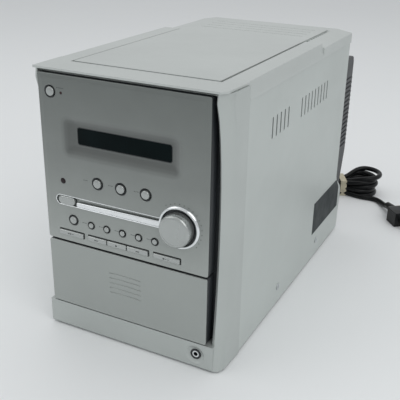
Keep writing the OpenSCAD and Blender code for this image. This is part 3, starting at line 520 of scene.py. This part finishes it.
def run(side, tied, w_end, r_end, end_u, outward):
    """Points of one run, from the tie out to an end fold or back."""
    shares = (0.0, 0.3, 0.62, 1.0)
    points = []
    for t in shares if outward else shares[::-1]:
        v = tied[0] + (side * r_end - tied[0]) * eased(t)
        w = tied[1] + (w_end - tied[1]) * eased(t)
        points.append(hank_point(end_u * t, v, w))
    return points


def hank_points():
    """Five turns that are tied side by side in the middle and fan out upwards at both ends."""
    points = [hank_point(*place) for place in HANK_START]
    for k, w in enumerate(TURN_W):
        last = k == len(TURN_W) - 1
        far_u = FAR_U + REACH[k]
        near_u = -NEAR_U + (3 if k % 2 else 0)
        near_r = LAST_R if last else FOLD_R
        w_next = TURN_W[0] if last else TURN_W[k + 1]
        points += run(-1, TIE_OUT[k], w, FOLD_R, far_u, True)
        for degrees in FOLD_DEGREES:
            q = math.radians(degrees)
            points.append(hank_point(far_u + FOLD_R * math.sin(q), -FOLD_R * math.cos(q), w))
        points += run(1, TIE_BACK[k], w, FOLD_R, far_u, False)
        points += run(1, TIE_BACK[k], w, near_r, near_u, True)[1:]
        for degrees in FOLD_DEGREES:
            q = math.radians(degrees)
            climb = (1 - math.cos(q)) / 2 if last else eased(min(1.0, degrees / 120))
            u, v = near_u - near_r * math.sin(q), near_r * math.cos(q)
            points.append(hank_point(u, v, w + (w_next - w) * climb))
        if not last:
            points += run(-1, TIE_OUT[k + 1], w_next, FOLD_R, near_u, False)[:-1]
    return points + [hank_point(*place) for place in HANK_END]


def catmull(points, steps):
    """A smooth curve through the points, with a number of steps between each two."""
    p = np.array(points, float)
    p = np.vstack([2 * p[0] - p[1], p, 2 * p[-1] - p[-2]])
    out = []
    for i in range(1, len(p) - 2):
        p0, p1, p2, p3 = p[i - 1:i + 3]
        for t in np.arange(steps) / steps:
            out.append(0.5 * (2 * p1 + (p2 - p0) * t + (2 * p0 - 5 * p1 + 4 * p2 - p3) * t ** 2
                              + (3 * p1 - p0 - 3 * p2 + p3) * t ** 3))
    out.append(p[-2])
    return np.array(out)


def evened(points, spacing, passes):
    """The same line with points a spacing apart, and its wiggles smoothed out."""
    p = np.array(points, float)
    for _ in range(2):
        d = np.r_[0, np.cumsum(np.linalg.norm(np.diff(p, axis=0), axis=1))]
        n = max(2, int(round(d[-1] / spacing)))
        at = np.linspace(0, d[-1], n + 1)
        p = np.stack([np.interp(at, d, p[:, k]) for k in range(3)], 1)
        for _ in range(passes):
            q = p.copy()
            q[2:-2] = (p[1:-3] + 2 * p[2:-2] + p[3:-1]) / 4
            p = q
    return p


def tube_curve(name, points, radius, slot, body):
    curve = bpy.data.curves.new(name, "CURVE")
    curve.dimensions = "3D"
    curve.bevel_depth = radius
    curve.bevel_resolution = 5
    curve.use_fill_caps = True
    spline = curve.splines.new("POLY")
    spline.points.add(len(points) - 1)
    for point, co in zip(spline.points, points):
        point.co = (*co, 1)
    spline.use_smooth = True
    obj = bpy.data.objects.new(name, curve)
    scene.collection.objects.link(obj)
    curve.materials.append(MAT[slot].mat)
    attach(obj, body)
    return obj


route = evened(catmull(LEAD + hank_points() + TAIL, 10), 1.5, 14) * MM
lead = tube_curve("mains_lead", route, CORD_D / 2 * MM, "cord_black", "case")
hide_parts("power_cord", "cord_hank")
fine("power_plug", 0.9)
fine("cord_tie", 0.5)

for name, obj in NODE.items():
    dress(obj, SLOT_OF[name])


# ---------------------------------------------------------------- fascia

POWER = (-67.2, 214)
LAMP = (-56.9, 213.9)
IR = (-60.1, 141.1)
ROUNDS = [(-26.4, 145), (-4.8, 145), (17.7, 145)]
SOURCE = (-51.8, 108)
DISCS = [(x, 107) for x in (-34.3, -19.3, -4.4, 10.6, 25.4)]
KNOB = (47, 124.3)
KEYS = [(-66.5, -42.4), (-38, -19.7), (-19.2, -0.9), (-0.4, 19.2), (23.9, 47.8)]
KEY_Z, KEY_H = 95, 4.4
PILL = (-65, -49, 121, 128)
SLOT = (-68, 34, 120, 129)
DISPLAY = (-45.4, 39.5, 173.4, 187.9)
DISH = (-59.5, 49.5, 161, 198)
DISH_DEPTH = 2.8


def make_fascia():
    """The glossy front face, with its dish, and a well for everything that comes through it."""
    y = LENS_Y
    back = CHIN_Y + 1.2
    shelf = CHIN_Y + 3.6
    corner = 9
    rings = [
        ring_in(DISPLAY, 0, 2.2, shelf, corner), ring_in(DISPLAY, -6, 3, shelf, corner),
        ring_in(DISH, -1, 6, back, corner), ring_in(FASCIA, 0.3, 1.4, back, corner),
        ring_in(FASCIA, 0, 1.8, back - 0.3, corner),
    ]
    r = 0.8
    for s in range(6):
        a = math.radians(90 * s / 5)
        m = r * (1 - math.cos(a))
        rings.append(ring_in(FASCIA, m, 1.8 - m * 0.6, y + 0.3 + (r - 0.3) * (1 - math.sin(a)), corner))
    # The low step of the border line
    for m, lift in ((3.0, 0.26), (3.35, 0.12), (3.7, 0.0)):
        rings.append(ring_in(FASCIA, m, 1.6, y + lift, corner))
    steps = 20
    for s in range(steps + 1):
        q = s / steps
        depth = DISH_DEPTH * (1 - math.cos(math.pi * q)) / 2
        box = [DISH[k] + (DISPLAY[k] - DISH[k]) * q for k in range(4)]
        rings.append(ring_in(box, 0, 9 + (2.2 - 9) * q, y + depth, corner))
    body = solid("fascia_body", *band(rings))

    deep, clear = CHIN_Y + 4, y - 2
    rounds = [(POWER, 10.6), (LAMP, 2.4), (IR, 5.0), (SOURCE, 9.8), (KNOB, 27.6)]
    rounds += [(at, 10.8) for at in ROUNDS] + [(at, 7.2) for at in DISCS]
    holes = [lathe(at, [(d / 2, deep), (d / 2, clear)], 48) for at, d in rounds]
    low, high = KEY_Z - KEY_H / 2 - 0.35, KEY_Z + KEY_H / 2 + 1.1
    for first, last in ((0, 0), (1, 3), (4, 4)):
        box = (KEYS[first][0] - 0.35, KEYS[last][1] + 1.0, low, high)
        holes.append(pad(box, 0.9, [(0, deep), (0, clear)], 4))
    box = (SLOT[0] + 0.6, 33, SLOT[2] + 0.6, SLOT[3] - 0.6)
    holes.append(pad(box, 4, [(0, deep), (0, clear)], 8))
    body = cut(body, joined("holes", holes))
    piece("fascia", body, "fascia_grey", "case", "fascia_lens", bevel=0.22, sharp=38)


def make_display():
    """The dark window at the bottom of the dish, and the thin frame around it."""
    y = CHIN_Y + 2.5
    x0, x1, z0, z1 = DISPLAY
    glass = pad((x0 + 0.3, x1 - 0.3, z0 + 0.3, z1 - 0.3), 2.0, edge(y, y + 1.5, 0.35))
    piece("display_glass", solid("display_glass", *glass), "display_dark", "case", "display_window")
    section = [(0.15, y + 1.2), (0.15, y - 0.15), (0.35, y - 0.3), (0.55, y - 0.15), (0.6, y + 1.2)]
    frame_band = band([ring_in(DISPLAY, m, 2.0 - m * 0.5, at) for m, at in section])
    piece("display_frame", solid("display_frame", *frame_band), "black_plastic", "case")


def dome(d, y_back, y_front, crown, edge_r):
    """Half of a push button's section, from its axis at the back to its axis at the front."""
    r = d / 2
    top = y_front + crown
    out = [(0.01, y_back), (r, y_back), (r, top + edge_r)]
    for s in range(1, 6):
        a = math.radians(90 * s / 5)
        out.append((r - edge_r * (1 - math.cos(a)), top + edge_r * (1 - math.sin(a))))
    inner = r - edge_r
    for s in range(1, 9):
        t = 1 - s / 8
        out.append((max(0.01, inner * t), y_front + crown * t * t))
    return out


# Name and node, place, cap diameter, how far it stands out, and the radius of its recess
BUTTONS = [
    ("power_button", POWER, 7.4, 1.1, 5.2),
    ("round_button_1", ROUNDS[0], 7.2, 1.7, 5.3),
    ("round_button_2", ROUNDS[1], 7.2, 1.7, 5.3),
    ("round_button_3", ROUNDS[2], 7.2, 1.7, 5.3),
    ("source_button", SOURCE, 6.4, 1.5, 4.8),
] + [(f"disc_button_{k + 1}", DISCS[k], 4.4, 1.3, 3.5) for k in range(5)]


def make_buttons():
    """Crowned caps, each in a black funnel that is painted shade in its recess, with a thin rim around it.
    """
    wells = []
    rims = []
    y = LENS_Y
    for name, at, d, proud, well in BUTTONS:
        crown, edge_r = (0.4, 0.7) if d > 6 else (0.3, 0.5)
        section = dome(d, CHIN_Y + 3.4, y - proud, crown, edge_r)
        cap = solid(name + "_cap", *lathe(at, section, 56))
        piece(name + "_cap", cap, "button_silver", BODY_OF[name], name, sharp=50)
        inner = d / 2 + 0.12
        # Painted shade: a black funnel fills the recess around each cap, where the recess would lie in
        # shade.
        wells.append(tube_ring(at, [
            (well, y + 2.0), (well, y + 0.15), (well - 0.25, y + 0.2), (inner + 0.45, y + 1.0),
            (inner, y + 1.15), (inner, y + 2.0)], 48))
        rims.append(tube_ring(at, [
            (well + 0.55, y + 0.2), (well + 0.5, y - 0.08), (well + 0.28, y - 0.2), (well + 0.04, y - 0.1),
            (well, y + 0.2)], 48))
    piece("button_wells_shade", joined("button_wells_shade", wells), "black_plastic", "case", sharp=50)
    piece("button_rims", joined("button_rims", rims), "fascia_grey", "case", "button_rings", sharp=50)


def mark(x0, x1, z0, z1, y):
    """A printed mark as a very thin slab."""
    return pad((x0, x1, z0, z1), 0.12, [(0, y + 0.12), (0, y), (0.05, y - 0.03)], 1)


def make_legends():
    """Short printed dashes beside the buttons, and the ticks around the volume collar."""
    y = LENS_Y
    marks = []
    reaches = [13.5, 11.5, 10.5, 8.8, 7.4, 7.4, 7.4, 7.4]
    for at, reach in zip(ROUNDS + DISCS, reaches):
        x = at[0] - reach
        for k, width in enumerate((1.1, 0.7, 1.3)):
            marks.append(mark(x, x + width, at[1] + 0.6, at[1] + 1.1, y))
            x += width + 0.45
    x = POWER[0] + 6.5
    for width in (1.2, 1.6, 0.9, 1.4):
        marks.append(mark(x, x + width, POWER[1] + 3.4, POWER[1] + 3.9, y))
        x += width + 0.4
    for k in range(15):
        a = math.radians(-42 + 12 * k)
        radius = 19.2 + (0.5 if k % 7 == 0 else 0)
        x, z = KNOB[0] + radius * math.cos(a), KNOB[1] + radius * math.sin(a)
        marks.append(mark(x - 0.35, x + 0.35, z - 0.35, z + 0.35, y))
    piece("legend_marks", joined("legend_marks", marks), "black_plastic", "case", sharp=50)


# Signs on the transport keys: boxes [x0, x1, z0, z1] about each key's middle
SIGNS = [
    [(-3.0, -1.6, -0.5, 0.5), (-1.1, 0.3, -0.5, 0.5), (1.0, 2.6, -0.25, 0.25)],
    [(-2.2, -1.7, -0.7, 0.7), (-1.4, -0.4, -0.45, 0.45), (-0.1, 0.9, -0.45, 0.45)],
    [(-0.7, 0.7, -0.7, 0.7)],
    [(-0.9, 0.1, -0.45, 0.45), (0.4, 1.4, -0.45, 0.45), (1.7, 2.2, -0.7, 0.7)],
    [(-2.8, -1.2, -0.6, 0.6), (-0.4, 0.6, -0.3, 0.3), (1.4, 2.6, -0.3, 0.3)],
]


def make_keys():
    """Bar keys in black frames that are painted shade in the gaps around them, each with a small sign on its
    face.
    """
    low, high = KEY_Z - KEY_H / 2, KEY_Z + KEY_H / 2
    wells = []
    # Painted shade: a black frame lines the gap around each key.
    for k, (k0, k1) in enumerate(KEYS):
        left = k0 - 0.5 if k in (0, 1, 4) else k0 - 0.25
        right = k1 + 1.2 if k in (0, 3, 4) else k1 + 0.25
        outside = (left, right, low - 0.5, high + 1.3)
        inside = (k0, k1, low - 0.1, high + 0.1)
        section = ((outside, 1.0), (inside, 1.0), (inside, 1.4), (outside, 1.4))
        wells.append(band([ring_in(box, 0, 0.8, LENS_Y + y, 4) for box, y in section]))
    piece("key_wells_shade", joined("key_wells_shade", wells), "black_plastic", "case")
    top = LENS_Y - 1.6
    stations = [(0.0, CHIN_Y + 3.2), (0.0, top + 1.1), (0.1, top + 0.75), (0.35, top + 0.45),
                (0.75, top + 0.25), (1.1, top + 0.18), (1.9, top + 0.16)]
    for k, (k0, k1) in enumerate(KEYS):
        name = f"transport_key_{k + 1}"
        cap = solid(name + "_cap", *pad((k0 + 0.1, k1 - 0.1, low, high), 0.8, stations, 5))
        piece(name + "_cap", cap, "button_silver", BODY_OF[name], name, sharp=50)
        xm = (k0 + k1) / 2
        signs = [mark(xm + x0, xm + x1, KEY_Z + z0, KEY_Z + z1, top + 0.15) for x0, x1, z0, z1 in SIGNS[k]]
        piece(name + "_sign", joined(name + "_sign", signs), "black_plastic", BODY_OF[name], sharp=50)


def make_knob():
    """The fluted knob with its dished face, the collar around it, and a black ring that is painted shade in
    the gap between them.
    """
    y1 = LENS_Y - 0.5
    y0 = -171.0
    r = 13.25
    count = 144
    flute_depth = 0.14
    # Radius, y, and 1 where the side is fluted
    section = [(0.01, y1, 0), (r - 0.6, y1, 0), (r - 0.2, y1 - 0.4, 0), (r - 0.05, y1 - 0.9, 1),
               (r - 0.05, y0 + 3.4, 1), (r - 0.1, y0 + 2.8, 0)]
    for s in range(1, 8):
        a = math.radians(90 * s / 7)
        section.append((r - 0.1 - 1.9 * (1 - math.cos(a)), y0 + 0.55 + 2.2 * (1 - math.sin(a)), 0))
    section += [(r - 2.5, y0 + 0.42, 0), (r - 2.8, y0 + 0.62, 0), (r - 3.3, y0 + 0.66, 0)]
    for s in range(1, 9):
        t = 1 - s / 8
        section.append((max(0.01, (r - 3.3) * t), y0 + 0.66 * t * t, 0))
    rings = []
    for rad, y, flute in section:
        ring = []
        for k in range(count):
            a = 2 * math.pi * k / count
            q = rad - (flute_depth if flute and k % 2 else 0)
            ring.append((KNOB[0] + q * math.cos(a), y, KNOB[1] + q * math.sin(a)))
        rings.append(ring)
    cap = solid("volume_knob_cap", *loft(rings))
    piece("volume_knob_cap", cap, "button_silver", "knob", "volume_knob", sharp=48)
    y = LENS_Y
    collar = tube_ring(KNOB, [
        (17.75, y + 0.4), (17.75, y - 0.2), (17.55, y - 1.0), (17.1, y - 1.7), (16.5, y - 2.1),
        (16.0, y - 2.2), (15.6, y - 2.1), (15.3, y - 1.8), (14.9, y - 0.9), (14.6, y + 0.4)], 96)
    piece("volume_collar", solid("volume_collar", *collar), "chrome_trim", "case", "volume_ring", sharp=40)
    # Painted shade: a black ring fills the gap between the knob and its collar.
    well = tube_ring(KNOB, [(14.7, y + 0.4), (14.7, y - 0.25), (9, y - 0.25), (9, y + 0.4)], 96)
    piece("volume_well_shade", solid("volume_well_shade", *well), "black_plastic", "case", sharp=40)


def make_slot():
    """The long chrome slot with its tapered bar, a black floor that is painted shade inside the slot, and
    the pill-shaped cap in its end.
    """
    y = LENS_Y
    x0, x1, z0, z1 = SLOT
    section = [(0.0, y + 0.3), (0.0, y - 0.45), (0.12, y - 0.65), (0.35, y - 0.7), (0.6, y - 0.6),
               (0.72, y - 0.4), (0.8, y + 0.3)]
    trim = band([ring_in(SLOT, m, 4.45 - m, at, 10) for m, at in section])
    # The bar fills the lower part of the slot; its upper edge rises to the right
    bar_x0, bar_x1, rise, length = -47.5, 33.2, 1.3, 80.7
    bar = []
    for m, at in ((0, y + 0.4), (0, y - 0.3), (0.15, y - 0.55), (0.5, y - 0.72), (1.0, y - 0.8)):
        outline = round_rect(bar_x0 + m * 0.3, bar_x1, z0 + 0.95 + m, z0 + 4.6 - m, 0.5, 3)
        bar.append([(px, at, pz if pz < z0 + 2.5 else pz + rise * (px - bar_x0) / length)
                    for px, pz in outline])
    parts = [trim, loft(bar)]
    piece("slot_trim", joined("slot_trim", parts), "chrome_trim", "case", "chrome_slot")
    # Painted shade: a black floor deep in the slot, where the slot lies in shade.
    inside = (x0 + 0.7, x1 - 0.7, z0 + 0.7, z1 - 0.7)
    floor = pad(inside, 3.7, [(0, CHIN_Y + 2.2), (0, CHIN_Y + 1.5)], 8)
    piece("slot_floor_shade", solid("slot_floor_shade", *floor), "black_plastic", "case")
    top = y - 1.5
    stations = [(0.0, CHIN_Y + 0.5), (0.0, top + 0.8), (0.1, top + 0.5), (0.35, top + 0.25),
                (0.8, top + 0.1), (1.6, top)]
    cap = solid("play_button_cap", *pad(PILL, 3.4, stations, 10))
    piece("play_button_cap", cap, "button_silver", "play_button", "play_button", sharp=50)


def make_small():
    """The infrared eye and the standby lamp."""
    y = LENS_Y
    back = CHIN_Y + 3
    lens = lathe(IR, [(0.01, back), (2.3, back), (2.3, y - 0.15), (2.1, y - 0.35), (1.4, y - 0.5),
                      (0.01, y - 0.55)], 40)
    piece("ir_eye", solid("ir_eye", *lens), "ir_dark", "case", "ir_window")
    lamp = lathe(LAMP, [(0.01, back), (1.1, back), (1.1, y - 0.1), (0.9, y - 0.3), (0.01, y - 0.4)], 32)
    piece("standby_eye", solid("standby_eye", *lamp), "lamp_red", "case", "standby_lamp")


def make_jack():
    """Dished recess of the headphone socket, the collar around its hole and the bright ferrule."""
    at = (61.7, 13.5)
    y = CHIN_Y
    floor = y + 2.0
    dish = tube_ring(at, [
        (8.9, y + 0.6), (8.9, y - 0.1), (8.6, y - 0.22), (8.2, y - 0.12), (7.6, y + 0.35), (6.7, y + 0.95),
        (5.7, y + 1.3), (4.7, y + 1.45), (4.6, floor)], 72)
    piece("jack_dish", solid("jack_dish", *dish), "bezel_silver", "case", sharp=60)
    collar = tube_ring(at, [
        (4.55, floor), (4.55, y + 0.75), (4.3, y + 0.5), (3.5, y + 0.45), (3.1, y + 0.8), (3.05, floor)], 56)
    piece("jack_collar", solid("jack_collar", *collar), "black_plastic", "case", sharp=50)
    ferrule = tube_ring(at, [
        (3.0, floor), (3.0, y + 1.0), (2.8, y + 0.85), (2.1, y + 0.85), (1.85, y + 1.05), (1.85, floor)], 48)
    piece("jack_ferrule", solid("jack_ferrule", *ferrule), "chrome_trim", "case", sharp=50)


def make_plate_groove():
    """A black strip in the groove between the top plate and the cover: painted shade in the groove."""
    bottom, height = 230.35, 0.9
    runs = ((64.55, 66.25, -132.4, 44.5), (-66.25, -64.55, -132.4, 44.5), (-64.6, 64.6, -133.95, -132.45))
    parts = []
    for x0, x1, y0, y1 in runs:
        verts, faces = pad((x0, x1, 0, 1), 0.2, [(0, y1), (0, y0)], 1)
        parts.append(([(x, y, bottom + height * z) for x, y, z in verts], faces))
    # Painted shade: the black strip darkens the groove.
    piece("plate_groove_shade", joined("plate_groove_shade", parts), "black_plastic", "case")


def make_drawer():
    """The drawer's front slab, with five short arched grooves."""
    box = (FASCIA[0] + 0.5, FASCIA[1] - 0.5, 25.6, 85.4)
    y = LENS_Y
    t = 1.8
    stations = [(t + 0.4, CHIN_Y + 3), (t, CHIN_Y + 3.4), (t, CHIN_Y + 11), (0, CHIN_Y + 11)]
    stations += edge(y, y + 1, 0.7, 5)[1:]
    me = solid("drawer_panel", *loft([ring_in(box, m, max(0.4, 1.6 - m), at, 6) for m, at in stations]))
    middle, half, pitch, lowest = -3.5, 15, 4.5, 49.5
    rise, h, n = 0.55, 0.5, 14
    grooves = []
    for k in range(5):
        rings = []
        for s in range(n + 1):
            u = -1 + 2 * s / n
            x = middle + half * u
            z = lowest + pitch * k + rise * (1 - u * u)
            rings.append([(x, y - 1, z - h), (x, y + 0.25, z - h), (x, y + 0.6, z - h * 0.4),
                          (x, y + 0.6, z + h * 0.4), (x, y + 0.25, z + h), (x, y - 1, z + h)])
        grooves.append(loft(rings))
    me = cut(me, joined("grooves", grooves))
    piece("drawer_panel", me, "drawer_silver", "drawer", "drawer_front", bevel=0.15, sharp=38)


def sleeve(box, r, wall, y_front, y_back):
    """A thin skirt around a round-cornered box, open at the front and the back."""
    section = ((0, y_back), (0, y_front + 0.2), (wall * 0.4, y_front), (wall, y_front + 0.1), (wall, y_back))
    return band([ring_in(box, m, r - m, y, 6) for m, y in section])


def make_gaps():
    """Black skirts around the panel and the drawer, and black strips behind the gap around them: painted
    shade in the gaps.
    """
    x0, x1, z0, z1 = FASCIA
    box = (x0 - 0.12, x1 + 0.12, z0 - 0.12, z1 + 0.12)
    # Painted shade: black sleeves around the edges of the panel and the drawer, where the gaps lie in shade.
    skirt = sleeve(box, 1.9, 0.3, CHIN_Y + 1.3, CHIN_Y + 11.6)
    piece("fascia_skirt_shade", solid("fascia_skirt_shade", *skirt), "black_plastic", "case")
    skirt = sleeve((x0 + 0.38, x1 - 0.38, 25.48, 85.52), 1.7, 0.3, CHIN_Y + 0.9, CHIN_Y + 11.0)
    piece("drawer_skirt_shade", solid("drawer_skirt_shade", *skirt), "black_plastic", "drawer")
    # Painted shade: black strips behind the gap around the panel and the drawer.
    strips = ((66.8, 74.9, 25.4, 228.2), (-79.2, -73.2, 25.4, 228.2), (-73.2, 66.8, 83.2, 88.6),
              (-73.2, 66.8, 223.0, 228.2))
    stations = [(0, CHIN_Y + 12.9), (0, CHIN_Y + 12.2), (0.15, CHIN_Y + 12.05)]
    parts = [pad(strip, 0.4, stations, 2) for strip in strips]
    piece("gap_shade_strips", joined("gap_shade_strips", parts), "black_plastic", "case")


make_fascia()
make_gaps()
make_display()
make_buttons()
make_keys()
make_knob()
make_slot()
make_small()
make_legends()
make_jack()
make_plate_groove()
make_drawer()

# Radius of the rounded edges on each node that keeps its CAD shape
EDGES = {
    "front_bezel": 0.35, "top_cover": 0.7, "top_plate": 0.35, "rear_housing": 0.6, "side_panel_right": 0.15,
    "side_panel_left": 0.15, "rating_label": 0.04, "case_screws": 0.12, "headphone_jack": 0.15,
    "cord_gland": 0.3, "feet": 0.4, "rear_panel": 0.1, "bottom_chassis": 0.1, "signal_jacks": 0.15,
    "wire_terminals": 0.2, "fan_frame": 0.2, "fan_rotor": 0.3, "disc_tray": 0.3,
}
for node, bevel in EDGES.items():
    fine(node, bevel)


# ---------------------------------------------------------------- floor and light

def make_stage():
    """A wide pale floor."""
    me = bpy.data.meshes.new("floor")
    reach = 6.0
    n = 24
    row = n + 1
    places = [(i / n - 0.5) * 2 * reach for i in range(row)]
    verts = [(x, y, 0) for y in places for x in places]
    corners = [j * row + i for j in range(n) for i in range(n)]
    me.from_pydata(verts, [], [(c, c + 1, c + row + 1, c + row) for c in corners])
    floor = bpy.data.objects.new("floor", me)
    scene.collection.objects.link(floor)
    m = Mat("floor", (0.80, 0.815, 0.82), 0.55)
    m.mottle(1.2, 0.006).uneven(20, 0.04)
    m.bump(m.noise(900, 2), 0.1, 0.00004)
    me.materials.append(m.mat)


def area_light(name, place, target, size, power):
    data = bpy.data.lights.new(name, "AREA")
    data.shape = "RECTANGLE"
    data.size, data.size_y = size
    data.energy = power
    obj = bpy.data.objects.new(name, data)
    scene.collection.objects.link(obj)
    obj.location = place
    obj.rotation_euler = (Vector(target) - Vector(place)).to_track_quat("-Z", "Y").to_euler()


make_stage()
world = bpy.data.worlds.new("studio")
scene.world = world
world.use_nodes = True
back = world.node_tree.nodes["Background"]
back.inputs["Color"].default_value = (0.965, 0.985, 1.0, 1)
back.inputs["Strength"].default_value = 0.6
area_light("key", (1.15, -0.75, 1.45), (0, 0, 0.1), (1.3, 1.3), 9)
area_light("fill", (-1.2, -0.9, 1.2), (0, 0, 0.1), (1.2, 1.2), 4)
area_light("top", (-0.1, 0.4, 1.8), (0, 0, 0.1), (1.8, 1.2), 6)
scene.view_settings.view_transform = "Standard"
